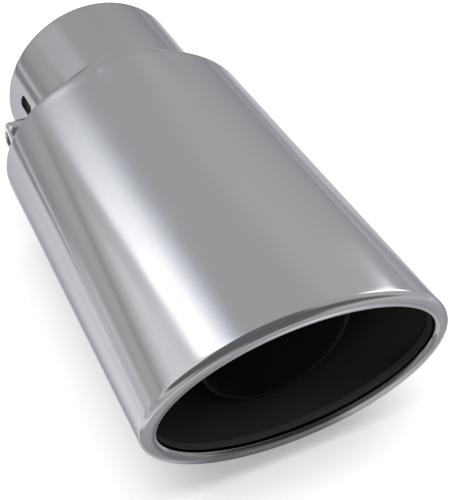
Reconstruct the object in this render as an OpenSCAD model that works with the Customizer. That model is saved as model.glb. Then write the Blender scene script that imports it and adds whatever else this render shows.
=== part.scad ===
// Exhaust tip: an oval, slightly flared trim piece for the end of a tail pipe.
// A round neck slips over the pipe. The body behind the rolled lip is one sheet that
// starts as a low oval at the outlet and grows rounder and taller toward the neck.
// Millimetres, +Z up. The axis runs along Y: the neck's mouth is at the origin and the
// outlet looks toward -Y.

/* [Outlet] */
// width of the oval outlet, measured over the lip
outlet_w = 99; // [94:0.5:105]
// height of the oval outlet, measured over the lip
outlet_h = 53.4; // [52:0.2:58]

/* [Body] */
// distance from the lip's front to the shoulder
body_len = 129; // [110:1:150]
// width of the body where the shoulder starts
rear_w = 90.4; // [84:0.4:98]
// height of the body where the shoulder starts
rear_h = 65.4; // [64:0.2:67]
// thickness of the sheet
wall = 1.2; // [1:0.1:1.5]

/* [Lip] */
// outer bend of the rolled lip
lip_outer_r = 2.7; // [2.4:0.1:3.2]
// inner bend of the rolled lip
lip_inner_r = 1.6; // [1.5:0.1:2]
// how far the lip's face leans back toward the inside, in degrees
lip_lean = 8; // [0:1:14]
// flat left between the two bends
lip_flat = 0.7; // [0.2:0.1:1]
// length of the turned-in flange behind the inner bend
lip_return = 3.2; // [0.8:0.1:4]

/* [Shoulder] */
// depth of the rounded edge around the shoulder
shoulder_r = 2; // [1.6:0.1:4]
// how far the shoulder leans back on its way in to the neck
shoulder_lean = 1.9; // [0.8:0.1:4]

/* [Neck] */
// outside diameter of the round neck
neck_d = 66.2; // [65.8:0.1:66.6]
// length of the neck behind the shoulder
neck_len = 35; // [30:1:44]
// how far the neck's centre sits above the body's centre
neck_lift = 0.8; // [0:0.1:1]
// how far the neck's centre sits to the right of the body's centre
neck_shift = 1.1; // [0:0.1:1.5]
// length over which the neck swells out of the top of the body
neck_lead = 2.5; // [2:0.1:4]
// how much the bore narrows, on the radius, where the tail pipe stops
stop_step = 0.4; // [0.3:0.05:0.6]
// chamfer around the outside of the neck's mouth
mouth_chamfer = 0.3; // [0.1:0.05:0.4]

/* [Slot and boss] */
// length of the slot, along the neck
slot_len = 10; // [8:0.5:12]
// width of the slot
slot_w = 4; // [3.4:0.1:4.4]
// angle of the slot around the neck, in degrees from the right-hand side over the top
slot_at = 162; // [158:1:163]
// angle of the boss around the neck, in degrees counted the same way
boss_at = 179; // [178:1:182]
// distance of the slot's middle behind the step where the tail pipe stops
slot_back = 7.9; // [6.5:0.1:10]
// distance of the boss's middle behind the same step
boss_back = 4.3; // [4.1:0.1:8]
// diameter of the boss
boss_d = 12.4; // [11.6:0.2:13.2]
// height of the boss above the neck
boss_h = 7.4; // [6:0.2:8.4]
// rounding of the boss's outer edge
boss_round = 2; // [1.2:0.1:2.2]
// outside diameter of the set screw
screw_d = 6; // [5:0.5:6.5]
// width across the flats of the set screw's socket
socket_af = 3; // [2.5:0.5:3]
// how far the set screw sits below the boss's top
screw_sink = 0.6; // [0.2:0.1:1]
// play between the set screw and its hole, on the radius
screw_play = 0.05; // [0.03:0.01:0.1]

/* [Inner tube] */
// gap between the inner tube and the sheet above it, at the tube's rim
tube_gap = 0.17; // [0.1:0.01:1.2]
// thickness of the inner tube
tube_wall = 1.2; // [1:0.1:1.5]
// how far the inner tube's rim sits behind the lip
tube_back = 18.8; // [16:0.2:24]
// length of the collar that seats in the neck
collar_len = 4; // [3:0.5:5]
// play between the collar and the neck, on the radius
collar_play = 0.05; // [0.03:0.01:0.1]
// length of the cone between the tube and its collar
flare_len = 4; // [3.5:0.5:5]

/* [Smoothness] */
// points around the oval
around = 72; // [48:12:84]

/* [Hidden] */
$fn = 96;
total_len = body_len + neck_len;
neck_r = neck_d / 2;
bore_r = neck_r - wall;
slot_sink = 4;
// small edges broken on the set screw and on the inner tube's rim
screw_break = 0.4;
rim_break = 0.3;
// lap of the neck's sheet inside the shoulder
weld_lap = 0.5;

// body half sizes at a depth behind the lip's front: a straight run from outlet to shoulder
function half_w(d) = (outlet_w + (rear_w - outlet_w) * d / body_len) / 2;
function half_h(d) = (outlet_h + (rear_h - outlet_h) * d / body_len) / 2;

// the throat in front of the pipe's stop holds the inner tube's cone and collar
throat_r = bore_r - stop_step;
cone_at = body_len + shoulder_lean;
collar_at = cone_at + flare_len;
collar_end = collar_at + collar_len;
stop_at = collar_end + collar_play;
slot_y = stop_at + slot_back;
boss_y = stop_at + boss_back;

// the inner tube fills the body's height, less the gap, where the body is lowest over it
tube_d = 2 * (min(half_h(tube_back), half_h(body_len)) - wall - neck_lift - tube_gap);

// a point on an ellipse moved inward along its normal
function inset_pt(a, b, p, s) =
    let (m = norm([b * cos(p), a * sin(p)]))
    [a * cos(p) - s * b * cos(p) / m, b * sin(p) - s * a * sin(p) / m];

// the ellipse's normal direction at the same point
function normal_at(a, b, p) =
    let (m = norm([b * cos(p), a * sin(p)])) [b * cos(p) / m, a * sin(p) / m];

// one section of the body, inset by s at depth d
function body_ring(s, d) =
    [for (i = [0:around - 1]) let (q = inset_pt(half_w(d), half_h(d), 360 * i / around, s)) [q[0], d, q[1]]];

// one section of the shoulder: part k of the way from the body's oval to a circle of radius r
function shoulder_ring(s, r, k, d) =
    [for (i = [0:around - 1])
        let (p = 360 * i / around,
             a = rear_w / 2,
             b = rear_h / 2,
             e = inset_pt(a, b, p, s),
             c = r * normal_at(a, b, p) + [neck_shift, neck_lift],
             q = e + (c - e) * k)
        [q[0], d, q[1]]];

// rolled lip as [inset, depth] pairs. Its skin runs from the wall round to the flange's edge.
face_turn = 90 + lip_lean;
face_s = lip_outer_r * (1 - cos(face_turn));
face_d = lip_outer_r * (1 - sin(face_turn));
inner_s = face_s + lip_flat * cos(lip_lean) - lip_inner_r * sin(lip_lean);
inner_d = face_d + lip_flat * sin(lip_lean) + lip_inner_r * cos(lip_lean);
function outer_bend(r) = [for (j = [0:6])
    let (u = face_turn * j / 6) [lip_outer_r - r * cos(u), lip_outer_r - r * sin(u)]];
function inner_bend(r) = [for (j = [0:3])
    let (u = lip_lean + (90 - lip_lean) * j / 3) [inner_s + r * sin(u), inner_d - r * cos(u)]];
function flange_edge(r) = [[inner_s + r, inner_d + lip_return]];
function reversed(v) = [for (j = [len(v) - 1:-1:0]) v[j]];
function lip_skin(t) = concat(outer_bend(lip_outer_r - t), inner_bend(lip_inner_r - t), flange_edge(lip_inner_r - t));

// shoulder skin as [k, depth] pairs for a sheet side t in from the outside
edge_k = shoulder_r / ((rear_w - neck_d) / 2);
function shoulder_skin(t) = concat(
    [for (j = [0:5]) let (u = 90 * j / 5, f = (shoulder_r - t) / shoulder_r)
        [edge_k * f * (1 - cos(u)), body_len - shoulder_r + (shoulder_r - t) * sin(u)]],
    [[0.6, body_len - t + shoulder_lean * 0.5], [1, body_len - t + shoulder_lean]]);

// the closed stack of sections: out along the outside, round the lip, back along the inside
seat_out = neck_r - 0.3 * wall;
seat_in = neck_r - 0.75 * wall;
stack = concat(
    reversed([for (v = shoulder_skin(0)) shoulder_ring(0, seat_out, v[0], v[1])]),
    [for (d = [body_len * 0.66, body_len * 0.33]) body_ring(0, d)],
    [for (v = lip_skin(0)) body_ring(v[0], v[1])],
    [for (v = reversed(lip_skin(wall))) body_ring(v[0], v[1])],
    [for (d = [body_len * 0.33, body_len * 0.66]) body_ring(wall, d)],
    [for (v = shoulder_skin(wall)) shoulder_ring(wall, seat_in, v[0], v[1])]);

module ring_loft(rings) {
    m = len(rings);
    n = len(rings[0]);
    polyhedron(
        points = [for (r = rings) each r],
        faces = [for (j = [0:m - 1]) for (i = [0:n - 1]) let (a = j * n, b = ((j + 1) % m) * n, k = (i + 1) % n)
            each [[a + i, b + i, a + k], [a + k, b + i, b + k]]],
        convexity = 6);
}

// turns local depth behind the lip into the part's own frame
module place() translate([-neck_shift, -total_len, -neck_lift]) children();

// a frame on the neck's skin: +Z points straight out of the neck at the given angle
module on_neck(angle, d) translate([neck_shift, d, neck_lift]) rotate([0, 90 - angle, 0]) children();

// solid of revolution about the neck's axis. Its profile is [radius, depth behind the lip].
module turned(profile) translate([neck_shift, 0, neck_lift]) rotate([-90, 0, 0]) rotate_extrude() polygon(profile);

module neck_tube() {
    front = cone_at - wall - weld_lap;
    difference() {
        turned([
            [throat_r, front], [seat_out - 0.35 * wall, front], [neck_r, front + neck_lead],
            [neck_r, total_len - mouth_chamfer], [neck_r - mouth_chamfer, total_len],
            [bore_r, total_len], [bore_r, stop_at], [throat_r, stop_at]]);
        on_neck(slot_at, slot_y) slot();
        on_neck(boss_at, boss_y) translate([0, 0, neck_r - slot_sink]) cylinder(r = screw_d / 2 + screw_play, h = 2 * slot_sink);
    }
}

// obround cutter with its long way along the neck
module slot()
    translate([0, 0, neck_r - slot_sink]) union() {
        for (s = [-1, 1]) translate([0, s * (slot_len - slot_w) / 2, 0]) cylinder(d = slot_w, h = 2 * slot_sink);
        translate([-slot_w / 2, -(slot_len - slot_w) / 2, 0]) cube([slot_w, slot_len - slot_w, 2 * slot_sink]);
    }

// the polished sheet: lip, body, shoulder and neck
module shell() color([0.78, 0.79, 0.82]) place() union() {
    ring_loft(stack);
    neck_tube();
}

// threaded boss welded to the neck, saddle-cut to sit on it
module boss() color([0.7, 0.71, 0.74]) place() on_neck(boss_at, boss_y) difference() {
    top = neck_r + boss_h;
    rotate_extrude() polygon(concat(
        [[screw_d / 2 + screw_play, neck_r - wall], [boss_d / 2, neck_r - wall]],
        [for (j = [0:4]) let (u = 90 * j / 4)
            [boss_d / 2 - boss_round * (1 - cos(u)), top - boss_round * (1 - sin(u))]],
        [[screw_d / 2 + screw_play, top]]));
    rotate([90, 0, 0]) cylinder(r = neck_r, h = 4 * boss_d, center = true);
}

// set screw that grips the tail pipe, its socket facing out
module set_screw() color([0.25, 0.25, 0.27]) place() on_neck(boss_at, boss_y) difference() {
    top = neck_r + boss_h - screw_sink;
    tip = bore_r + screw_break;
    rotate_extrude() polygon([
        [0, tip], [screw_d / 2 - 2 * screw_break, tip], [screw_d / 2, tip + 2 * screw_break],
        [screw_d / 2, top - screw_break], [screw_d / 2 - screw_break, top], [0, top]]);
    translate([0, 0, top - socket_af]) cylinder(d = socket_af / cos(30), h = 2 * socket_af, $fn = 6);
}

// black round tube inside the body. Its cone and collar seat in the throat of the neck.
module inner_tube() color([0.05, 0.05, 0.05]) place() {
    r = tube_d / 2;
    seat = throat_r - collar_play;
    turned([
        [r - tube_wall, tube_back + rim_break], [r - tube_wall + rim_break, tube_back],
        [r - rim_break, tube_back], [r, tube_back + rim_break],
        [r, cone_at], [seat, collar_at], [seat, collar_end], [seat - tube_wall, collar_end],
        [seat - tube_wall, collar_at + rim_break], [r - tube_wall, cone_at + rim_break]]);
}

shell();
inner_tube();
boss();
set_screw();
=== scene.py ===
# %% [markdown]
# # An oval exhaust tip
# This is the trim piece at the end of a car's tail pipe: one polished sheet with a rolled
# lip at the outlet, a long body that grows rounder and taller, a shoulder and a round neck.
# A black tube sits inside it, and a set screw in a boss on the neck holds it on the pipe.
# The measured solids come first, so that every piece made here lands in their frame.

# %% Load the measured solids
import math

import bmesh
import bpy
import numpy as np
from mathutils import Matrix, Vector


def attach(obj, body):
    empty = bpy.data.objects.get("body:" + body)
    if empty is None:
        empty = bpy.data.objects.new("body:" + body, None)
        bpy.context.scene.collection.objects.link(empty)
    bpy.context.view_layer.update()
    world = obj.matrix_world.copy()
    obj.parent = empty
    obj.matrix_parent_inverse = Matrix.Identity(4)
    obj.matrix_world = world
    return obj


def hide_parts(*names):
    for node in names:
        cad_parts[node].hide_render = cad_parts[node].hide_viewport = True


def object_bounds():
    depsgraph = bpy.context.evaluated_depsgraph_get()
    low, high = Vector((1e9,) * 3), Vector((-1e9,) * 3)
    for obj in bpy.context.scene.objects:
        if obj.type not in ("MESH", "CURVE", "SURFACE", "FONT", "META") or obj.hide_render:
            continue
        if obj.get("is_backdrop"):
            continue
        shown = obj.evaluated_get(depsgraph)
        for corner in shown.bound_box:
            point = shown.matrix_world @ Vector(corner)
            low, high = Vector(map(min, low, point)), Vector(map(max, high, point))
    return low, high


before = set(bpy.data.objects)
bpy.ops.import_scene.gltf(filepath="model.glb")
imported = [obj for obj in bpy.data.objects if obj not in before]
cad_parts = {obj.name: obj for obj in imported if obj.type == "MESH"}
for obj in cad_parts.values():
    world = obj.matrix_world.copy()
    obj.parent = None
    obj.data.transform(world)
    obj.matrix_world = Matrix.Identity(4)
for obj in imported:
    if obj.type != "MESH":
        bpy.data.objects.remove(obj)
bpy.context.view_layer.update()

# %% [markdown]
# The camera comes before the pieces, because what it sees decides where detail is worth
# the work. It stands in front and to the left of the outlet and looks down at about 42
# degrees. Its place and its lens were solved from the outline, the outlet's rim and the
# neck together, so they aren't round numbers.

# %% Camera
RIGHT_WAY = Vector((0.89949, -0.43692, -0.00521))
UP_WAY = Vector((0.29632, 0.60119, 0.74214))
CAMERA_AT = Vector((-0.117471, -0.356341, 0.251615))
LENS_MM, SENSOR_MM = 85.895, 36.0
NEAREST_SEEN, FARTHEST_SEEN = 0.02, 50.0


def put_in_scene(name, data):
    """A new object for that data, linked into the scene."""
    made = bpy.data.objects.new(name, data)
    bpy.context.scene.collection.objects.link(made)
    return made


def make_camera():
    lens = bpy.data.cameras.new("photo_camera")
    lens.sensor_width, lens.lens = SENSOR_MM, LENS_MM
    lens.clip_start, lens.clip_end = NEAREST_SEEN, FARTHEST_SEEN
    camera = put_in_scene("photo_camera", lens)
    back_way = RIGHT_WAY.cross(UP_WAY).normalized()
    aim = Matrix((RIGHT_WAY, UP_WAY, back_way)).transposed()
    camera.matrix_world = Matrix.Translation(CAMERA_AT) @ aim.to_4x4()
    bpy.context.scene.camera = camera
    return camera


camera = make_camera()
print("camera at mm", [round(v * 1000) for v in camera.location],
      "lens", round(camera.data.lens, 1))

# %% [markdown]
# The sheet's sizes are the ones that the solids were made from, in millimetres. Depth is
# counted back from the front of the lip, and the frame's origin is the centre of the
# neck's mouth, so a point at depth d lies at y = d - 164. The neck stands 1.1 mm to the
# right of the body's centre and 0.8 mm above it.

# %% Sizes of the sheet
MM = 0.001
OUTLET_W, OUTLET_H = 99.0, 53.4
BODY_LEN, REAR_W, REAR_H = 129.0, 90.4, 65.4
WALL = 1.2
LIP_OUTER, LIP_INNER, LIP_LEAN = 2.7, 1.6, math.radians(8)
LIP_FLAT, LIP_RETURN = 0.7, 3.2
SHOULDER_R, SHOULDER_LEAN = 2.0, 1.9
NECK_R, NECK_LEN = 33.1, 35.0
NECK_SHIFT, NECK_LIFT = 1.1, 0.8
TOTAL = BODY_LEN + NECK_LEN
BORE_R = NECK_R - WALL
THROAT_R = BORE_R - 0.4
STOP_AT = 138.95  # depth of the step in the bore that stops the tail pipe
AROUND = 288  # points on each ring of the sheet
turn = np.linspace(0, 2 * np.pi, AROUND, endpoint=False)
sideways, upward = np.cos(turn), np.sin(turn)


def half_sizes(depth):
    """Half width and half height of the body at a depth behind the lip."""
    part = depth / BODY_LEN
    width = OUTLET_W + (REAR_W - OUTLET_W) * part
    height = OUTLET_H + (REAR_H - OUTLET_H) * part
    return width / 2, height / 2


def oval_ring(inset, depth):
    """One section of the body, moved inward along the oval's normal."""
    a, b = half_sizes(np.asarray(depth, float))
    size = np.hypot(b * sideways, a * upward)
    x = a * sideways - inset * b * sideways / size
    z = b * upward - inset * a * upward / size
    return np.stack([x, np.broadcast_to(depth, x.shape), z], 1)


def neck_ring(radius, depth):
    """A circle on the neck's axis. Its points face the way that the body's points face."""
    a, b = REAR_W / 2, REAR_H / 2
    size = np.hypot(b * sideways, a * upward)
    x = radius * b * sideways / size + NECK_SHIFT
    z = radius * a * upward / size + NECK_LIFT
    return np.stack([x, np.full(AROUND, float(depth)), z], 1)


print("outlet", OUTLET_W, "x", OUTLET_H, "mm, rear", REAR_W, "x", REAR_H,
      "mm, neck", 2 * NECK_R, "mm")

# %% [markdown]
# ## The sheet
# The real part is pressed and rolled from one sheet of stainless steel, so it is built
# here as one closed skin: out along the neck and the body, round the lip, and back along
# the inside. A loft of rings suits it, because each ring is a true section of the part
# and the rings can crowd together where the sheet bends. A polished surface shows every
# facet in its reflections, so the rings are dense and their sides are quads.
# The first cell walks round the rolled lip: a big bend outside, a small flat that leans
# back, a small bend inside, and then comes a flange that is turned in.

# %% The rolled lip as inset and depth pairs
OUTER_BEND_RINGS, INNER_BEND_RINGS = 26, 14
FACE_TURN = math.pi / 2 + LIP_LEAN
FACE_S = LIP_OUTER * (1 - math.cos(FACE_TURN))
FACE_D = LIP_OUTER * (1 - math.sin(FACE_TURN))
INNER_S = FACE_S + LIP_FLAT * math.cos(LIP_LEAN) - LIP_INNER * math.sin(LIP_LEAN)
INNER_D = FACE_D + LIP_FLAT * math.sin(LIP_LEAN) + LIP_INNER * math.cos(LIP_LEAN)


def lip_pairs(side):
    """Inset and depth of the lip's skin, a distance side in from the sheet's outer face."""
    pairs = []
    r = LIP_OUTER - side
    for u in np.linspace(0, FACE_TURN, OUTER_BEND_RINGS):
        pairs.append((LIP_OUTER - r * math.cos(u), LIP_OUTER - r * math.sin(u)))
    r = LIP_INNER - side
    for u in np.linspace(LIP_LEAN, math.pi / 2, INNER_BEND_RINGS):
        pairs.append((INNER_S + r * math.sin(u), INNER_D - r * math.cos(u)))
    return pairs


lip_front = lip_pairs(0.0)
print("lip is", round(lip_front[-1][0], 2), "mm wide, with", len(lip_front),
      "rings round its bends")

# %% [markdown]
# The neck's circle stands a little above the body's oval at the top, so the top of the
# sheet rises gently to meet it. At the shoulder the rings change from the oval to the
# circle. A small hollow bend leads into the neck, where the real sheet was drawn out to
# a round collar. All three are blends between two rings.

# %% Rings of the rising top and the shoulder
RISE_FROM, RISE_SHARE = 100, 0.96  # depth where the rise starts, and how much is bridged
rear = oval_ring(0, BODY_LEN)
neck_top = np.sqrt(np.maximum(NECK_R ** 2 - (rear[:, 0] - NECK_SHIFT) ** 2, 0)) + NECK_LIFT
top_rise = np.where(rear[:, 2] > 0, np.maximum(neck_top - rear[:, 2], 0), 0) * RISE_SHARE


def between(a, b, k):
    return a + (b - a) * k


def skin_ring(depth):
    """The body's outside, with the gentle rise at the top of its rear end."""
    part = min(max((depth - RISE_FROM) / (BODY_LEN - RISE_FROM), 0), 1)
    ring = oval_ring(0, depth)
    ring[:, 2] += top_rise * part * part * (3 - 2 * part)
    return ring


def shoulder_ring(side, radius, k, depth):
    """Part k of the way from the body's oval to the neck's circle."""
    start = oval_ring(side, BODY_LEN) if side else skin_ring(BODY_LEN)
    ring = between(start, neck_ring(radius, depth), k)
    ring[:, 1] = depth
    return ring


def hollow(start, corner, end, steps):
    """Rings along a smooth bend that starts at one ring and ends at another."""
    return [between(between(start, corner, t), between(corner, end, t), t)
            for t in np.linspace(0, 1, steps)]


print("the top of the body rises", round(float(top_rise.max()), 2), "mm")

# %% [markdown]
# The rings are now listed in order, each with the finish of the strip that follows it.
# The list starts on the outside of the neck, at its rounded mouth, and runs forward over
# the shoulder and along the body to the lip. From the middle of its big bend on, the lip
# has a finish of its own, because the roll is worked and handled more than the body.

# %% Outside of the neck, the shoulder, the body and the lip
STEEL, COAT, BORE, LIP = 0, 1, 2, 3
MOUTH_ROUND = 0.35
STRAIGHT_FROM, STRAIGHT_TO = TOTAL - 2, BODY_LEN + 5.5  # the neck's plain stretch
HOLLOW_LEN = 3.6  # the hollow bend starts this far behind the body's end
FACE_TOP_K, FACE_TOP_LEAN = 0.90, 0.86  # where it ends on the shoulder's leaning face
EDGE_K = SHOULDER_R / (REAR_W / 2 - NECK_R)
BEND_GAP = 1.5  # the rings along the body stop this far from its bends
LIP_FROM_RING = 11
rings, finishes = [], []


def add_ring(points, finish):
    rings.append(points)
    finishes.append(finish)


for t in np.linspace(0, math.pi / 2, 5):
    add_ring(neck_ring(NECK_R - MOUTH_ROUND * (1 - math.sin(t)),
                       TOTAL - MOUTH_ROUND * (1 - math.cos(t))), STEEL)
for depth in np.linspace(STRAIGHT_FROM, STRAIGHT_TO, 14):
    add_ring(neck_ring(NECK_R, depth), STEEL)
for ring in hollow(neck_ring(NECK_R, BODY_LEN + HOLLOW_LEN),
                   neck_ring(NECK_R, BODY_LEN + SHOULDER_LEAN),
                   shoulder_ring(0, NECK_R, FACE_TOP_K, BODY_LEN + SHOULDER_LEAN * FACE_TOP_LEAN),
                   12):
    add_ring(ring, STEEL)
for k in np.linspace(FACE_TOP_K, EDGE_K, 8)[1:-1]:
    part = (k - EDGE_K) / (1 - EDGE_K)
    add_ring(shoulder_ring(0, NECK_R, k, BODY_LEN + SHOULDER_LEAN * part), STEEL)
for u in np.linspace(math.pi / 2, 0, 14):
    depth = BODY_LEN - SHOULDER_R + SHOULDER_R * math.sin(u)
    add_ring(shoulder_ring(0, NECK_R, EDGE_K * (1 - math.cos(u)), depth), STEEL)
for depth in np.linspace(BODY_LEN - SHOULDER_R - BEND_GAP, LIP_OUTER + BEND_GAP, 48):
    add_ring(skin_ring(depth), STEEL)
for count, (inset, depth) in enumerate(lip_front):
    add_ring(oval_ring(inset, depth), STEEL if count < LIP_FROM_RING else LIP)
print("the outside has", len(rings), "rings")

# %% [markdown]
# The black coat starts on the flange. On the real part the lip is masked with tape while
# the inside is sprayed, so the coat's edge is a line that wavers a little. The ring that
# carries that line gets three small waves, and the end of the flange is rounded.

# %% The flange with the coat's masked line
COAT_LINE = 2.2
BEHIND_LINE = 1.4  # a ring behind the line keeps its waves out of the rest of the flange
EDGE_ROUND = 0.2
flange_inset = INNER_S + LIP_INNER
line_wave = sum(size * np.sin(count * turn + start)
                for size, count, start in ((0.07, 3, 0.6), (0.05, 11, 0), (0.03, 29, 1.1)))
add_ring(oval_ring(flange_inset, INNER_D + EDGE_ROUND), LIP)
for depth in (COAT_LINE + line_wave, INNER_D + BEHIND_LINE, INNER_D + LIP_RETURN - EDGE_ROUND):
    add_ring(oval_ring(flange_inset, depth), COAT)
for t in np.linspace(0, math.pi, 7):
    add_ring(oval_ring(flange_inset - WALL / 2 + WALL / 2 * math.cos(t),
                       INNER_D + LIP_RETURN + EDGE_ROUND * math.sin(t)), COAT)
print("the coat's line wavers by", round(float(np.ptp(line_wave)), 2), "mm")

# %% [markdown]
# The list ends with the way back: the hollow side of the lip, the inside of the body, the
# throat, the step that stops the tail pipe, and the bare bore up to the neck's mouth.

# %% Inside of the lip, the body and the neck
BORE_ROUND = 0.25
MID_FACE_K, MID_FACE_LEAN = 0.6, 0.5  # one ring half-way up the shoulder's inner face
for inset, depth in reversed(lip_pairs(WALL)):
    add_ring(oval_ring(inset, depth), COAT)
for depth in np.linspace(LIP_OUTER + 2 * BEND_GAP, BODY_LEN - SHOULDER_R - BEND_GAP, 34):
    add_ring(oval_ring(WALL, depth), COAT)
inner_r = SHOULDER_R - WALL
for u in np.linspace(0, math.pi / 2, 6):
    add_ring(shoulder_ring(WALL, THROAT_R, EDGE_K * inner_r / SHOULDER_R * (1 - math.cos(u)),
                           BODY_LEN - SHOULDER_R + inner_r * math.sin(u)), COAT)
add_ring(shoulder_ring(WALL, THROAT_R, MID_FACE_K,
                       BODY_LEN - WALL + SHOULDER_LEAN * MID_FACE_LEAN), COAT)
add_ring(neck_ring(THROAT_R, BODY_LEN - WALL + SHOULDER_LEAN), COAT)
for radius, depth in ((THROAT_R, STOP_AT - 3), (THROAT_R, STOP_AT), (BORE_R, STOP_AT + 0.02),
                      (BORE_R, STOP_AT + 1), (BORE_R, TOTAL - 12), (BORE_R, TOTAL - 1.0)):
    add_ring(neck_ring(radius, depth), BORE)
for t in np.linspace(0, math.pi / 2, 4):
    add_ring(neck_ring(BORE_R + BORE_ROUND * (1 - math.cos(t)),
                       TOTAL - BORE_ROUND * (1 - math.sin(t))), BORE)
print("the sheet has", len(rings), "rings of", AROUND, "points")

# %% [markdown]
# The rings become a mesh with one quad between each pair of neighbours. Edges that turn
# sharply are marked, so that smooth shading doesn't smear the light across them. The
# smaller pieces are skins over rings too, so they use the same two helpers.

# %% From rings to a mesh
SHARP_TURN = math.radians(40)


def to_frame(points):
    """Millimetres behind the lip to metres in the solids' frame."""
    return (np.asarray(points, float) - np.array([NECK_SHIFT, TOTAL, NECK_LIFT])) * MM


def new_piece(name, points, faces, numbers=None, smooth=True):
    """A piece in the scene from points in metres, with every face turned outward."""
    mesh = bpy.data.meshes.new(name)
    mesh.from_pydata([tuple(p) for p in points], [], faces)
    if numbers:
        mesh.polygons.foreach_set("material_index", numbers)
    mesh.polygons.foreach_set("use_smooth", [smooth] * len(faces))
    made = bmesh.new()
    made.from_mesh(mesh)
    bmesh.ops.recalc_face_normals(made, faces=made.faces)
    made.to_mesh(mesh)
    made.free()
    if smooth:
        mesh.set_sharp_from_angle(angle=SHARP_TURN)
    return put_in_scene(name, mesh)


def ring_skin(name, sections, strips=None, closed=True):
    """A skin over rings in the frame, with the finish number of each strip."""
    count, around = len(sections), len(sections[0])
    faces, numbers = [], []
    for j in range(count if closed else count - 1):
        a, b = j * around, ((j + 1) % count) * around
        faces += [(a + i, a + (i + 1) % around, b + (i + 1) % around, b + i)
                  for i in range(around)]
        numbers += [strips[j] if strips else 0] * around
    return new_piece(name, [p for ring in sections for p in ring], faces, numbers)


sheet = ring_skin("polished_sheet", [to_frame(ring) for ring in rings], finishes)
print(sheet.name, len(sheet.data.polygons), "faces")

# %% [markdown]
# ## Slot and screw hole
# The neck has one narrow slot near the shoulder, whose use the photograph doesn't show,
# and beside it the threaded hole under the boss. Both are cut with a boolean, as a punch
# and a drill would cut them. A boolean keeps the finish numbers of the faces only when
# the mesh has a place for each material, so four empty places come first.

# %% Cut the slot and the screw hole
SLOT_AT, SLOT_DEPTH = math.radians(162), STOP_AT + 7.9
BOSS_AT, BOSS_DEPTH = math.radians(179), STOP_AT + 4.3
SLOT_LEN, SLOT_W = 10.0, 4.0
SCREW_HOLE_R = 3.05
TOOL_REACH = 4  # the cutting tools reach this far in and out from the neck's skin


def on_neck(angle, depth):
    """Matrix with +Z straight out of the neck at that angle and depth."""
    out = Vector((math.cos(angle), 0, math.sin(angle)))
    along = Vector((0, 1, 0))
    side = along.cross(out)
    matrix = Matrix((side, along, out)).transposed().to_4x4()
    matrix.translation = Vector((0, (depth - TOTAL) * MM, 0))
    return matrix


def cutting_tool(name, outline, matrix):
    """A closed prism over an outline in millimetres, through the neck's wall."""
    n = len(outline)
    points = [matrix @ Vector((x * MM, y * MM, z * MM))
              for z in (NECK_R - TOOL_REACH, NECK_R + TOOL_REACH) for x, y in outline]
    faces = [tuple(range(n))[::-1], tuple(range(n, 2 * n))]
    faces += [(i, (i + 1) % n, n + (i + 1) % n, n + i) for i in range(n)]
    return new_piece(name, points, faces, smooth=False)


def round_ends(length, width, steps=16):
    """Outline of an obround whose long way runs along the neck."""
    r, h = width / 2, (length - width) / 2
    top = [(r * math.cos(t), h + r * math.sin(t)) for t in np.linspace(0, math.pi, steps)]
    return top + [(-x, -y) for x, y in top]


def cut(piece, tool):
    change = piece.modifiers.new("cut", "BOOLEAN")
    change.operation = "DIFFERENCE"
    change.solver = "EXACT"
    change.object = tool
    graph = bpy.context.evaluated_depsgraph_get()
    old = piece.data
    piece.data = bpy.data.meshes.new_from_object(piece.evaluated_get(graph))
    piece.modifiers.clear()
    piece.data.name = old.name
    bpy.data.objects.remove(tool)


for place in (STEEL, COAT, BORE, LIP):
    sheet.data.materials.append(None)
circle = [(SCREW_HOLE_R * math.cos(t), SCREW_HOLE_R * math.sin(t))
          for t in np.linspace(0, 2 * math.pi, 40, endpoint=False)]
cut(sheet, cutting_tool("slot_punch", round_ends(SLOT_LEN, SLOT_W), on_neck(SLOT_AT, SLOT_DEPTH)))
cut(sheet, cutting_tool("hole_drill", circle, on_neck(BOSS_AT, BOSS_DEPTH)))
print("sheet after the cuts:", len(sheet.data.polygons), "faces")

# %% [markdown]
# A boolean leaves long uneven faces round its cuts. On a flat wall they wouldn't show,
# but on a round mirror they dent the reflections. The real neck is simply round, so its
# normals are set to point straight out from its axis, and straight in on the bore.

# %% Straighten the neck's normals
SKIN_NEAR = 0.02  # a corner this near to a radius, in mm, lies on that skin
FACING = 0.9  # a face that turns further away than this is an edge or a cut


def read_all(things, field, width=1, kind=np.float32):
    """One number or vector of every element of a mesh, as an array."""
    values = np.zeros(len(things) * width, kind)
    things.foreach_get(field, values)
    return values.reshape(-1, width) if width > 1 else values


def straighten_neck(mesh):
    """Points the normals of the neck's round skins along its radius."""
    normals = read_all(mesh.corner_normals, "vector", 3)
    at = read_all(mesh.vertices, "co", 3)[read_all(mesh.loops, "vertex_index", kind=np.int32)]
    starts = read_all(mesh.polygons, "loop_start", kind=np.int32)
    sizes = read_all(mesh.polygons, "loop_total", kind=np.int32)
    order = np.concatenate([np.arange(s, s + n) for s, n in zip(starts, sizes)])
    face = np.zeros_like(at)
    face[order] = np.repeat(read_all(mesh.polygons, "normal", 3), sizes, axis=0)
    radius = np.hypot(at[:, 0], at[:, 2])
    out = np.stack([at[:, 0] / radius, np.zeros(len(at)), at[:, 2] / radius], 1)
    side = np.einsum("ij,ij->i", face, out)
    on_skin = np.abs(radius - NECK_R * MM) < SKIN_NEAR * MM
    on_skin |= np.abs(radius - BORE_R * MM) < SKIN_NEAR * MM
    on_skin &= np.abs(side) > FACING
    on_skin &= at[:, 1] > (BODY_LEN + HOLLOW_LEN + 0.1 - TOTAL) * MM
    on_skin &= at[:, 1] < -0.5 * MM
    normals[on_skin] = (out * np.sign(side)[:, None])[on_skin]
    mesh.normals_split_custom_set(normals.tolist())
    return int(on_skin.sum())


print("corners set straight on the neck:", straighten_neck(sheet.data))

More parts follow.
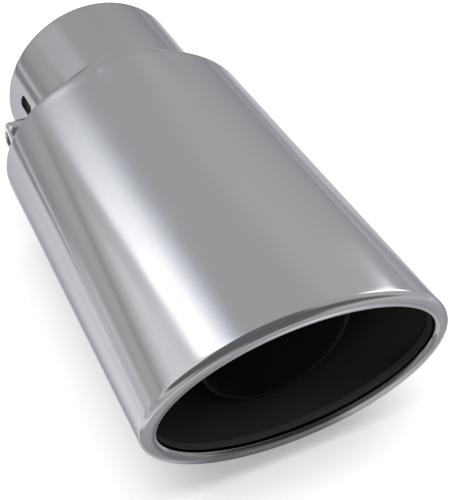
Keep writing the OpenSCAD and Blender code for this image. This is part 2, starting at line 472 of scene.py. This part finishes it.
# %% [markdown]
# ## The inner tube
# Inside the body sits a plain round tube with a black coat. Its rim is the lighter arc
# that shows deep in the outlet. At its far end a cone and a collar seat it in the throat.
# It is a turned profile, so it is made as rings too, with a rounded rim that catches a
# little light.

# %% Inner tube
TUBE_R, TUBE_WALL, TUBE_BACK = 25.404, 1.2, 18.8
RIM_ROUND = 0.35
CONE_AT = BODY_LEN + SHOULDER_LEAN
COLLAR_AT = CONE_AT + 4.0
COLLAR_END = COLLAR_AT + 4.0
SEAT_R = THROAT_R - 0.05
BEND_LAG = 0.3  # the cone's inner face bends this much later than its outer one
TUBE_AROUND = 192


def circle_ring(radius, depth):
    """A plain circle on the neck's axis."""
    t = np.linspace(0, 2 * np.pi, TUBE_AROUND, endpoint=False)
    return np.stack([radius * np.cos(t) + NECK_SHIFT, np.full(TUBE_AROUND, float(depth)),
                     radius * np.sin(t) + NECK_LIFT], 1)


def tube_profile():
    """Radius and depth pairs: the rim, the outside, the collar, and back along the inside."""
    middle, half = TUBE_R - TUBE_WALL / 2, TUBE_WALL / 2
    inside, seat_inside = TUBE_R - TUBE_WALL, SEAT_R - TUBE_WALL
    pairs = [(middle + half * math.sin(t), TUBE_BACK + RIM_ROUND * (1 - math.cos(t)))
             for t in np.linspace(-math.pi / 2, math.pi / 2, 11)]
    pairs += [(TUBE_R, d) for d in np.linspace(TUBE_BACK + 2, CONE_AT - 1, 16)]
    pairs += [(TUBE_R, CONE_AT), (SEAT_R, COLLAR_AT), (SEAT_R, COLLAR_END),
              (seat_inside, COLLAR_END), (seat_inside, COLLAR_AT + BEND_LAG),
              (inside, CONE_AT + BEND_LAG)]
    pairs += [(inside, d) for d in np.linspace(CONE_AT - 1, TUBE_BACK + 2, 16)]
    return pairs


tube = ring_skin("inner_tube_black", [to_frame(circle_ring(r, d)) for r, d in tube_profile()])
print(tube.name, len(tube.data.polygons), "faces")

# %% [markdown]
# ## The strip behind the slot
# The slot is kept dark with painted shade: a thin black strip is laid on the bore behind
# it, so light doesn't pass through it to the open end of the neck. It is a patch of a
# cylinder with round corners, so it is made from the same kind of outline as the slot,
# wrapped on to the bore.

# %% Black strip of painted shade behind the slot
STRIP_LEN, STRIP_W = 15.0, 11.0
STRIP_SQUEEZE = 0.575  # its width is squeezed by this, which makes its ends pointed curves
STRIP_OUT, STRIP_IN = 0.02, 0.1  # how far its two faces lie inside the bore


def slot_shade_strip():
    outline = round_ends(STRIP_LEN, STRIP_W, 24)
    n = len(outline)
    points = []
    for radius in (BORE_R - STRIP_OUT, BORE_R - STRIP_IN):
        for scale in (1.0, 0.5):
            for x, y in outline:
                angle = SLOT_AT + x * STRIP_SQUEEZE * scale / radius
                points.append((radius * math.cos(angle) * MM,
                               (SLOT_DEPTH - TOTAL + y * scale) * MM,
                               radius * math.sin(angle) * MM))
    faces = []
    for base in (0, 2 * n):
        faces += [(base + i, base + (i + 1) % n, base + n + (i + 1) % n, base + n + i)
                  for i in range(n)]
        faces.append(tuple(base + n + i for i in range(n)))
    faces += [(i, (i + 1) % n, 2 * n + (i + 1) % n, 2 * n + i) for i in range(n)]
    return new_piece("slot_shade_strip", points, faces, smooth=False)


# a black strip of painted shade, which keeps the slot dark
strip = slot_shade_strip()
print(strip.name, len(strip.data.polygons), "faces")

# %% [markdown]
# ## The boss
# The sheet alone is too thin for a thread, so a turned boss is welded on to give the
# screw enough. Its foot is cut to the neck's round, so the boss is lofted from the neck
# up: first a ring that follows the skin, then the straight side, the rounded top edge,
# and back down the hole. No bead of weld can be made out in the photograph, so none is
# added.

# %% Boss
BOSS_R, BOSS_H, BOSS_ROUND = 6.2, 7.4, 2.0
FOOT_SINK = 0.1  # the foot sits this deep in the neck's skin
HOLE_BEVEL = 0.35
SMALL_AROUND = 96
small_turn = np.linspace(0, 2 * math.pi, SMALL_AROUND, endpoint=False)
stand = on_neck(BOSS_AT, BOSS_DEPTH)


def stand_point(x, y, z):
    """A point on the boss's own axes in millimetres, brought to the frame."""
    return stand @ Vector((x * MM, y * MM, z * MM))


def boss_ring(radius, height, on_skin=False):
    """A circle round the boss's axis, flat or laid on the neck's round skin."""
    ring = []
    for t in small_turn:
        x, y = radius * math.cos(t), radius * math.sin(t)
        base = math.sqrt(max(NECK_R ** 2 - x * x, 0)) if on_skin else NECK_R
        ring.append(stand_point(x, y, base + height))
    return ring


foot = boss_ring(BOSS_R, 0.0, on_skin=True)
side_top = boss_ring(BOSS_R, BOSS_H - BOSS_ROUND)
boss_sections = [boss_ring(BOSS_R, -FOOT_SINK, on_skin=True)]
for k in np.linspace(0.15, 1, 7):
    boss_sections.append([a.lerp(b, k) for a, b in zip(foot, side_top)])
for t in np.linspace(0, math.pi / 2, 9)[1:]:
    boss_sections.append(boss_ring(BOSS_R - BOSS_ROUND * (1 - math.cos(t)),
                                   BOSS_H - BOSS_ROUND * (1 - math.sin(t))))
for wider, lower in ((HOLE_BEVEL, 0), (0.1, 0.1), (0, HOLE_BEVEL)):
    boss_sections.append(boss_ring(SCREW_HOLE_R + wider, BOSS_H - lower))
boss_sections.append(boss_ring(SCREW_HOLE_R, -FOOT_SINK, on_skin=True))
boss = ring_skin("screw_boss", boss_sections)
print(boss.name, len(boss.data.polygons), "faces")

# %% [markdown]
# The set screw is a dark, oiled steel plug with a hexagon socket. The socket is what
# shows in the photograph as a small dark hole. Its walls are flat, so the socket is a
# ring of six sides that is bridged to the round top.

# %% Set screw with its hexagon socket
SCREW_R, SCREW_SINK, SOCKET_AF = 3.0, 0.6, 3.0
SCREW_FOOT = -WALL + 0.4
POINT_BEVEL, TOP_BEVEL = 0.8, 0.4
SOCKET_BEVEL, SOCKET_DEEP, CONE_DEEP = 0.25, 2.6, 0.6
CENTRE_R = 0.3  # the skin's two ends stop at this small circle


def hexagon_ring(flats, height):
    """Points on a hexagon, as many as on the round rings, so that both can be joined."""
    ring = []
    for t in small_turn:
        off = (t + math.pi / 6) % (math.pi / 3) - math.pi / 6
        r = flats / 2 / math.cos(off)
        ring.append(stand_point(r * math.cos(t), r * math.sin(t), NECK_R + height))
    return ring


screw_top = BOSS_H - SCREW_SINK
screw_sections = [boss_ring(CENTRE_R, SCREW_FOOT),
                  boss_ring(SCREW_R - POINT_BEVEL, SCREW_FOOT),
                  boss_ring(SCREW_R, SCREW_FOOT + POINT_BEVEL),
                  boss_ring(SCREW_R, screw_top - TOP_BEVEL),
                  boss_ring(SCREW_R - TOP_BEVEL, screw_top),
                  hexagon_ring(SOCKET_AF + 2 * SOCKET_BEVEL, screw_top),
                  hexagon_ring(SOCKET_AF, screw_top - SOCKET_BEVEL),
                  hexagon_ring(SOCKET_AF, screw_top - SOCKET_DEEP),
                  boss_ring(CENTRE_R, screw_top - SOCKET_DEEP - CONE_DEEP)]
screw = ring_skin("socket_screw", screw_sections, closed=False)
print(screw.name, len(screw.data.polygons), "faces")

# %% [markdown]
# ## Finishes
# Every finish is a small tree of nodes, so a few helpers come first. One feeds a value
# into a socket, whether it is a number, a colour or another node's result. The others
# make the patterns: a noise, a fade between two values, a blend of two colours, a bump.

# %% Shader helpers: values
def new_material(name):
    material = bpy.data.materials.new(name)
    material.use_nodes = True
    tree = material.node_tree
    tree.nodes.clear()
    output = tree.nodes.new("ShaderNodeOutputMaterial")
    surface = tree.nodes.new("ShaderNodeBsdfPrincipled")
    tree.links.new(surface.outputs["BSDF"], output.inputs["Surface"])
    return material, tree, surface


def add(tree, kind, **values):
    node = tree.nodes.new(kind)
    for key, value in values.items():
        if key in node.inputs:
            node.inputs[key].default_value = value
        else:
            setattr(node, key, value)
    return node


def feed(tree, socket, value):
    """Sets a socket to a number or a colour, or links another node's result to it."""
    if isinstance(value, bpy.types.NodeSocket):
        tree.links.new(value, socket)
    else:
        socket.default_value = (*value, 1) if isinstance(value, tuple) else value


def dress(tree, surface, **values):
    """Feeds a surface's inputs. Base_Color stands for the input that is called Base Color."""
    for name, value in values.items():
        feed(tree, surface.inputs[name.replace("_", " ")], value)


def compute(tree, operation, *values):
    node = add(tree, "ShaderNodeMath", operation=operation)
    for socket, value in zip(node.inputs, values):
        feed(tree, socket, value)
    return node.outputs[0]


def times(tree, *values):
    """All the values multiplied: a window where every edge is 1."""
    result = values[0]
    for value in values[1:]:
        result = compute(tree, "MULTIPLY", result, value)
    return result


print("value helpers ready")

# %% Shader helpers: patterns
def place_in(tree, stretch=(1, 1, 1)):
    """Object coordinates, stretched so that a pattern can run one way."""
    where = add(tree, "ShaderNodeTexCoord")
    scale = add(tree, "ShaderNodeMapping", Scale=stretch)
    tree.links.new(where.outputs["Object"], scale.inputs["Vector"])
    return scale.outputs["Vector"]


def axes_of(tree, vector):
    """The X, Y and Z of a vector as three results."""
    parts = add(tree, "ShaderNodeSeparateXYZ")
    tree.links.new(vector, parts.inputs["Vector"])
    return parts.outputs["X"], parts.outputs["Y"], parts.outputs["Z"]


def length_of(tree, vector):
    length = add(tree, "ShaderNodeVectorMath", operation="LENGTH")
    tree.links.new(vector, length.inputs[0])
    return length.outputs["Value"]


def noise(tree, vector, scale, detail=2.0):
    node = add(tree, "ShaderNodeTexNoise", Scale=scale, Detail=detail, Roughness=0.5)
    tree.links.new(vector, node.inputs["Vector"])
    return node.outputs["Fac"]


def remap(tree, value, span, target, smooth=True):
    """Carries a value from one pair of limits to another, and stops at the ends."""
    node = add(tree, "ShaderNodeMapRange",
               interpolation_type="SMOOTHSTEP" if smooth else "LINEAR")
    for key, number in zip(("From Min", "From Max", "To Min", "To Max"), (*span, *target)):
        node.inputs[key].default_value = number
    tree.links.new(value, node.inputs["Value"])
    return node.outputs["Result"]


def fade(tree, value, start, end):
    """0 at start and 1 at end, soft in between. The end may be the smaller of the two."""
    rising = end > start
    return remap(tree, value, (min(start, end), max(start, end)), (0, 1) if rising else (1, 0))


def blend(tree, amount, first, second):
    """The first colour where the amount is 0, and the second where it is 1.
    Among the mix node's inputs, 6 and 7 are its two colours."""
    mix = add(tree, "ShaderNodeMix", data_type="RGBA")
    for number, value in ((0, amount), (6, first), (7, second)):
        feed(tree, mix.inputs[number], value)
    return mix.outputs[2]


def bump(tree, height, distance, strength, after=None):
    node = add(tree, "ShaderNodeBump", Strength=strength, Distance=distance)
    tree.links.new(height, node.inputs["Height"])
    if after is not None:
        tree.links.new(after, node.inputs["Normal"])
    return node.outputs["Normal"]


print("pattern helpers ready")

# %% [markdown]
# ## Polished stainless steel
# Polished stainless is a metal whose look comes almost wholly from what it mirrors. What
# makes it real is what spoils the mirror a little: a slow waviness left by the press,
# fine lines from the buffing wheel, a few pits, and smears where it is duller.

# %% Polished steel
def polished_steel():
    material, tree, surface = new_material("polished_steel")
    plain = place_in(tree)
    smears = noise(tree, plain, scale=38.0, detail=3.0)
    wave = noise(tree, plain, scale=26.0, detail=1.0)
    buff = noise(tree, place_in(tree, (1, 14, 1)), scale=420.0)
    pits = remap(tree, noise(tree, plain, scale=1500.0, detail=1.0), (0.79, 0.84), (0.0, 1.0))
    shape = bump(tree, wave, distance=0.0006, strength=0.12)
    shape = bump(tree, buff, distance=0.00002, strength=0.08, after=shape)
    shape = bump(tree, pits, distance=-0.00005, strength=0.4, after=shape)
    dress(tree, surface, Metallic=1.0, Base_Color=(0.55, 0.552, 0.575),
          Specular_Tint=(0.45, 0.45, 0.47), Normal=shape,
          Roughness=remap(tree, smears, (0.35, 0.7), (0.085, 0.14)))
    return material


steel = polished_steel()
print("made", steel.name, "with", len(steel.node_tree.nodes), "nodes")

# %% [markdown]
# The rolled lip is worked harder and handled more than the body, so it is duller and has
# fine rings. Its low side and the inner half of its roll are painted darker: painted shade
# that stands for the shadowed floor which they mirror. Both are found from the place alone:
# how low the point is, and how far in it lies from the oval's edge. That distance is the
# oval's radius in the point's direction, less the point's own radius.

# %% Steel of the lip, with its painted shade
def from_middle(tree, plain, wide, high):
    """Distance from the outlet's middle, counted in these units across and up."""
    oval = add(tree, "ShaderNodeMapping", Scale=(1 / wide, 0, 1 / high),
               Location=(NECK_SHIFT * MM / wide, 0, NECK_LIFT * MM / high))
    tree.links.new(plain, oval.inputs["Vector"])
    return length_of(tree, oval.outputs["Vector"])


# painted shade: the lip's low side and the inner half of its roll are darkened, standing for the
# shadowed floor that they mirror
def lip_painted_shade(tree, plain):
    x, _, z = axes_of(tree, plain)
    out = from_middle(tree, plain, MM, MM)
    share = from_middle(tree, plain, OUTLET_W / 2 * MM, OUTLET_H / 2 * MM)
    inset = compute(tree, "SUBTRACT", compute(tree, "DIVIDE", out, share), out)
    low_painted_shade = times(tree, fade(tree, z, -0.013, -0.021), fade(tree, x, 0.03, 0.006))
    inner_painted_shade = remap(tree, inset, (2.7, 3.9), (0, 0.55))
    # on the right the inner painted shade reaches out to the roll's front
    right_painted_shade = times(tree, remap(tree, inset, (2.3, 2.9), (0, 0.62)),
                       fade(tree, x, 0.004, 0.02), fade(tree, z, 0.008, -0.008))
    return compute(tree, "MAXIMUM", compute(tree, "MAXIMUM", low_painted_shade, inner_painted_shade), right_painted_shade)


def lip_steel():
    material, tree, surface = new_material("lip_steel")
    plain = place_in(tree)
    smears = noise(tree, plain, scale=55.0, detail=3.0)
    wave = noise(tree, plain, scale=45.0, detail=1.0)
    fine_rings = noise(tree, place_in(tree, (1, 30, 1)), scale=160.0)
    shape = bump(tree, wave, distance=0.0005, strength=0.12)
    shape = bump(tree, fine_rings, distance=0.00004, strength=0.25, after=shape)
    # the tone falls to a dark grey where the painted shade lies
    tone = blend(tree, lip_painted_shade(tree, plain), (0.6, 0.602, 0.622), (0.15, 0.15, 0.153))
    dress(tree, surface, Metallic=1.0, Base_Color=tone, Specular_Tint=(0.5, 0.5, 0.52),
          Normal=shape, Roughness=remap(tree, smears, (0.35, 0.7), (0.1, 0.19)))
    return material


lip_finish = lip_steel()
print("made", lip_finish.name, "with", len(lip_finish.node_tree.nodes), "nodes")

# %% [markdown]
# ## Black coat
# The inside is sprayed with a satin black coat that survives heat. Sprayed paint has a
# fine orange-peel texture and dull patches. The coat on the body's wall is the same paint
# made a little paler than the one on the tube, as painted light for the light that reaches
# the wall, so one function makes two coats.

# %% Black coat
def black_coat(name, dark, pale):
    material, tree, surface = new_material(name)
    plain = place_in(tree)
    patches = noise(tree, plain, scale=60.0, detail=3.0)
    peel = noise(tree, plain, scale=1500.0)
    dress(tree, surface, Base_Color=blend(tree, patches, dark, pale), Specular_IOR_Level=0.35,
          Roughness=remap(tree, patches, (0.3, 0.7), (0.55, 0.7)),
          Normal=bump(tree, peel, distance=0.00004, strength=0.25))
    return material


coat = black_coat("black_coat", (0.008, 0.0086, 0.0086), (0.015, 0.016, 0.016))
# painted light: the same black coat, made paler on the body's wall
painted_light_wall_coat = black_coat("painted_light_wall_coat", (0.036, 0.041, 0.038), (0.052, 0.058, 0.055))
print("made", coat.name, "and", painted_light_wall_coat.name)

# %% [markdown]
# ## Bore and small parts
# The bore is bare sheet that was never polished, the boss is turned steel with fine
# rings, and the screw is dark with oil. All three are steel with one colour, darker
# patches and a fine grain, so one function with different numbers makes them.

# %% Bare, turned and oiled steel
PATCH_SHADE = 0.72  # the patches have this share of the colour


def dull_steel(name, colour, roughness, grain, stretch):
    """Steel with one colour and a grain that runs one way."""
    material, tree, surface = new_material(name)
    patches = noise(tree, place_in(tree), scale=90.0, detail=4.0)
    lines = noise(tree, place_in(tree, stretch), scale=grain, detail=3.0)
    darker = tuple(c * PATCH_SHADE for c in colour)
    dress(tree, surface, Metallic=1.0, Base_Color=blend(tree, patches, colour, darker),
          Roughness=remap(tree, patches, (0.3, 0.7), roughness),
          Normal=bump(tree, lines, distance=0.00003, strength=0.3))
    return material


bore_steel = dull_steel("bore_steel", (0.11, 0.11, 0.115), (0.4, 0.55), 500.0, (1, 10, 1))
boss_steel = dull_steel("boss_steel", (0.62, 0.63, 0.66), (0.16, 0.28), 600.0, (8, 1, 1))
screw_steel = dull_steel("screw_steel", (0.10, 0.10, 0.11), (0.25, 0.4), 600.0, (1, 1, 1))
for number, finish in ((STEEL, steel), (COAT, painted_light_wall_coat), (BORE, bore_steel), (LIP, lip_finish)):
    sheet.data.materials[number] = finish
for piece, finish in ((strip, coat), (tube, coat), (boss, boss_steel), (screw, screw_steel)):
    piece.data.materials.append(finish)
print("finishes on the sheet:", [finish.name for finish in sheet.data.materials],
      "on the rest:", [finish.name for finish in (coat, boss_steel, screw_steel)])

# %% [markdown]
# ## Joining the frame
# Each piece stands for one of the measured solids and takes its place: it rides on the
# root body, the solid is hidden, and the solid takes the piece's first finish. The strip
# stands for no solid, so it only rides along.

# %% Pieces take the solids' places
for piece, node, slot in ((sheet, "shell", "polished_steel"), (tube, "inner_tube", "black_coat"),
                          (boss, "boss", "boss_steel"), (screw, "set_screw", "screw_steel")):
    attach(piece, "root")
    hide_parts(node)
    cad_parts[node].data.materials.clear()
    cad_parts[node].data.materials.append(piece.data.materials[0])
    print(piece.name, "replaces", node)

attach(strip, "root")
print(strip.name, "rides on root")

# %% [markdown]
# ## Floor
# The part lies on white paper. Polished metal shows what is around it more than it shows
# itself, so the floor is part of the metal's look. A sheet of paper lies under the part,
# turned a little, on a duller table, and its edges show as bands along the sheet's sides.
# One flat square carries all of it as painted windows, which is simpler than four sheets
# laid on each other and leaves no edges that cast shadows. Distances are in metres.

# %% Colours of the floor
PAPER_TURN = math.radians(-26.5)
RIGHT_SLANT, LEFT_SLANT = -0.129, 0.149  # how much the paper's two long sides lean


def floor_place(tree, where):
    """How far across and how deep a point lies, along the turned paper's own sides."""
    turned = add(tree, "ShaderNodeMapping", vector_type="TEXTURE", Rotation=(0, 0, PAPER_TURN))
    tree.links.new(where, turned.inputs["Vector"])
    return axes_of(tree, turned.outputs["Vector"])[:2]


def floor_colour(tree, where):
    """The floor's colour, and the window in which the paper lies."""
    across, deep = floor_place(tree, where)
    right_side = compute(tree, "MULTIPLY_ADD", deep, RIGHT_SLANT, across)
    left_side = compute(tree, "MULTIPLY_ADD", deep, LEFT_SLANT, across)
    paper = times(tree, fade(tree, right_side, 0.168, 0.139), fade(tree, left_side, -0.12, -0.045),
                  fade(tree, deep, 0.26, 0.125), fade(tree, deep, -0.178, -0.163))
    # a pale cloth covers the table on the left
    cloth = times(tree, fade(tree, across, -0.02, -0.05), fade(tree, across, -0.42, -0.2))
    # a dull patch lies behind it, which the left side of the neck mirrors
    patch = times(tree, fade(tree, across, -0.2, -0.28), fade(tree, across, -0.6, -0.48),
                  fade(tree, deep, 0.02, 0.08), fade(tree, deep, 0.4, 0.3))
    colour = blend(tree, fade(tree, deep, -0.16, 0.05), (0.38, 0.38, 0.39), (0.6, 0.6, 0.61))
    for window, shade in ((cloth, (0.79, 0.79, 0.8)), (patch, (0.3, 0.3, 0.3)),
                          (paper, (0.89, 0.89, 0.9))):
        colour = blend(tree, window, colour, shade)
    return colour, paper


print("the paper is turned by", round(math.degrees(PAPER_TURN), 1), "degrees")

# %% [markdown]
# In the photograph the paper is so bright that it has no tone left. Brighter lamps would
# burn the metal too, so the paper gets a little light of its own, and so does the far
# floor. Only the camera and mirrors see it. The light that the floor throws back on the
# part stays that of plain paper.

# %% Floor
FLOOR_HALF = 3.0
PAPER_LIFT, FAR_LIFT = 0.19, 0.26


def seen_directly(tree):
    """1 for rays from the camera, from a mirror or through glass, 0 for light that spreads."""
    path = add(tree, "ShaderNodeLightPath")
    total = path.outputs["Is Camera Ray"]
    for name in ("Is Glossy Ray", "Is Transmission Ray"):
        total = compute(tree, "MAXIMUM", total, path.outputs[name])
    return total


def white_paper():
    material, tree, surface = new_material("white_paper")
    where = add(tree, "ShaderNodeTexCoord").outputs["Object"]
    colour, paper = floor_colour(tree, where)
    far = remap(tree, length_of(tree, where), (0.3, 0.9), (0.0, FAR_LIFT))
    near = remap(tree, paper, (0, 1), (0, PAPER_LIFT), smooth=False)
    lift = compute(tree, "MAXIMUM", far, near)
    dress(tree, surface, Base_Color=colour, Roughness=0.9, Specular_IOR_Level=0.1,
          Emission_Color=(1, 1, 1), Emission_Strength=times(tree, seen_directly(tree), lift))
    return material


def make_floor():
    half, level = FLOOR_HALF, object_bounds()[0].z
    mesh = bpy.data.meshes.new("paper_floor")
    mesh.from_pydata([(-half, -half, level), (half, -half, level),
                      (half, half, level), (-half, half, level)], [], [(0, 1, 2, 3)])
    floor = put_in_scene("paper_floor", mesh)
    mesh.materials.append(white_paper())
    floor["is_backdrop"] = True
    return floor


floor = make_floor()
print("floor at z mm", round(floor.data.vertices[0].co.z * 1000, 2))

# %% [markdown]
# ## The room in the mirror
# The surroundings are the real finish of this picture. They could be lamps and cards
# standing round the part, but a sky painted by compass direction and height does the
# same and casts no stray shadows. The painter below lays one soft-edged window of light
# over another, as a decorator lays coats of paint.

# %% Painting the room by direction
class Room:
    """Layers of light on the sky, each inside a soft window of azimuth and elevation.
    Azimuth 0 is behind the part, toward +Y, and grows to the right. Angles are in degrees."""

    def __init__(self, tree, ground):
        self.tree = tree
        where = add(tree, "ShaderNodeTexCoord")
        x, y, z = axes_of(tree, where.outputs["Generated"])
        self.around = compute(tree, "ARCTAN2", x, y)
        self.height = compute(tree, "ARCSINE", z)
        self.colour = (ground, ground, ground)

    def lay(self, light, west=None, east=None, low=None, high=None, lean=None):
        """Each side is a pair of angles between which the layer fades in. lean=(at, rise)
        tips its low and high sides by rise degrees for each degree of azimuth past at."""
        height = self.height
        if lean:
            at, rise = lean
            tip = compute(self.tree, "MULTIPLY_ADD", self.around, -rise, rise * math.radians(at))
            height = compute(self.tree, "ADD", height, tip)
        sides = ((self.around, west), (self.around, east), (height, low), (height, high))
        window = times(self.tree, *[fade(self.tree, value, *map(math.radians, pair))
                                    for value, pair in sides if pair])
        shade = (light, light, light) if isinstance(light, float) else light
        self.colour = blend(self.tree, window, self.colour, shade)


print("room painter ready")

# %% [markdown]
# Each layer below was placed by asking which direction a spot on the metal mirrors. The
# broad highlight left of the body's middle is a wide white panel, the dark streaks beside
# it are dim gaps in the left wall, and the grey top is the room's even tone. What mirrors
# and the camera see is this painted room. What only lights the part is an even dome, so
# that colours stay true.

# %% The studio's sky
def paint_room(tree):
    room = Room(tree, 0.57)
    # a little brighter to the right, and a dim band along the horizon
    room.lay(0.64, west=(15, 35), low=(12, 22), high=(48, 38))
    room.lay(0.47, west=(-46, -40), east=(5, -15), low=(-12, -6), high=(9, 3))
    room.lay(0.66, west=(22, 34), high=(24, 12))
    room.lay(0.86, east=(-41, -46), high=(8, 3))
    # left wall: a bright strip, a dim line, a pale line and a dim line again
    room.lay(0.61, east=(-28, -34), low=(10, 13), high=(19, 16))
    room.lay(0.47, east=(-30, -34), low=(18, 20), high=(24, 21))
    room.lay(1.05, east=(-35, -38), low=(21, 34))
    room.lay(0.93, west=(-38, -36), east=(-29, -31), low=(22, 44))
    # the wide white panel: brightest at its top left, sharp on its left, bluish on its right
    room.lay(0.69, west=(-34, -30), east=(-10, -20), low=(14, 20))
    room.lay((0.65, 0.69, 0.77), west=(-33, -30), east=(3, -10), low=(22, 42), lean=(-26, 0.85))
    room.lay(2.1, west=(-33, -30), east=(0, -23), low=(26, 50), lean=(-26, 0.85))
    # a lamp to the right that only the lip's roll catches
    room.lay(2.7, west=(53.6, 57), east=(76, 70), low=(10, 18), high=(40, 32))
    # the dark side behind the camera, and a dark ceiling
    room.lay(0.17, west=(108, 126), low=(9, 20))
    room.lay(0.17, west=(150, 158), east=(179, 171), low=(-4, 0))
    room.lay(0.17, east=(-60, -76), low=(27, 40))
    room.lay(0.17, east=(-150, -166), low=(10, 22))
    room.lay(0.19, low=(60, 70))
    return room.colour


def make_world():
    world = bpy.data.worlds.new("studio")
    bpy.context.scene.world = world
    world.use_nodes = True
    tree = world.node_tree
    tree.nodes.clear()
    output = tree.nodes.new("ShaderNodeOutputWorld")
    sky = tree.nodes.new("ShaderNodeBackground")
    tree.links.new(sky.outputs["Background"], output.inputs["Surface"])
    feed(tree, sky.inputs["Color"],
         blend(tree, seen_directly(tree), (0.48, 0.48, 0.49), paint_room(tree)))
    return world


world = make_world()
print("the sky has", len(world.node_tree.nodes), "nodes")

# %% [markdown]
# Two wide lamps over the part give the floor its soft shadow. They are hidden from
# mirrors, because the metal shows the painted room and a lamp's square would spoil it.

# %% Lamps
LAMP_SIZE, LAMP_POWER = 1.1, 10.0
LAMP_AIM = Vector((0, -0.08, 0))


def make_lamp(name, place):
    light = bpy.data.lights.new(name, "AREA")
    light.shape = "SQUARE"
    light.size, light.energy = LAMP_SIZE, LAMP_POWER
    lamp = put_in_scene(name, light)
    lamp.location = place
    lamp.rotation_euler = (LAMP_AIM - lamp.location).to_track_quat("-Z", "Y").to_euler()
    lamp.visible_glossy = False
    return lamp


lamps = [make_lamp("left_lamp", (-0.4, 0.12, 1.15)), make_lamp("right_lamp", (0.6, -0.05, 1.1))]
bpy.context.scene.view_settings.view_transform = "Standard"
print("studio ready with", len(lamps), "lamps")
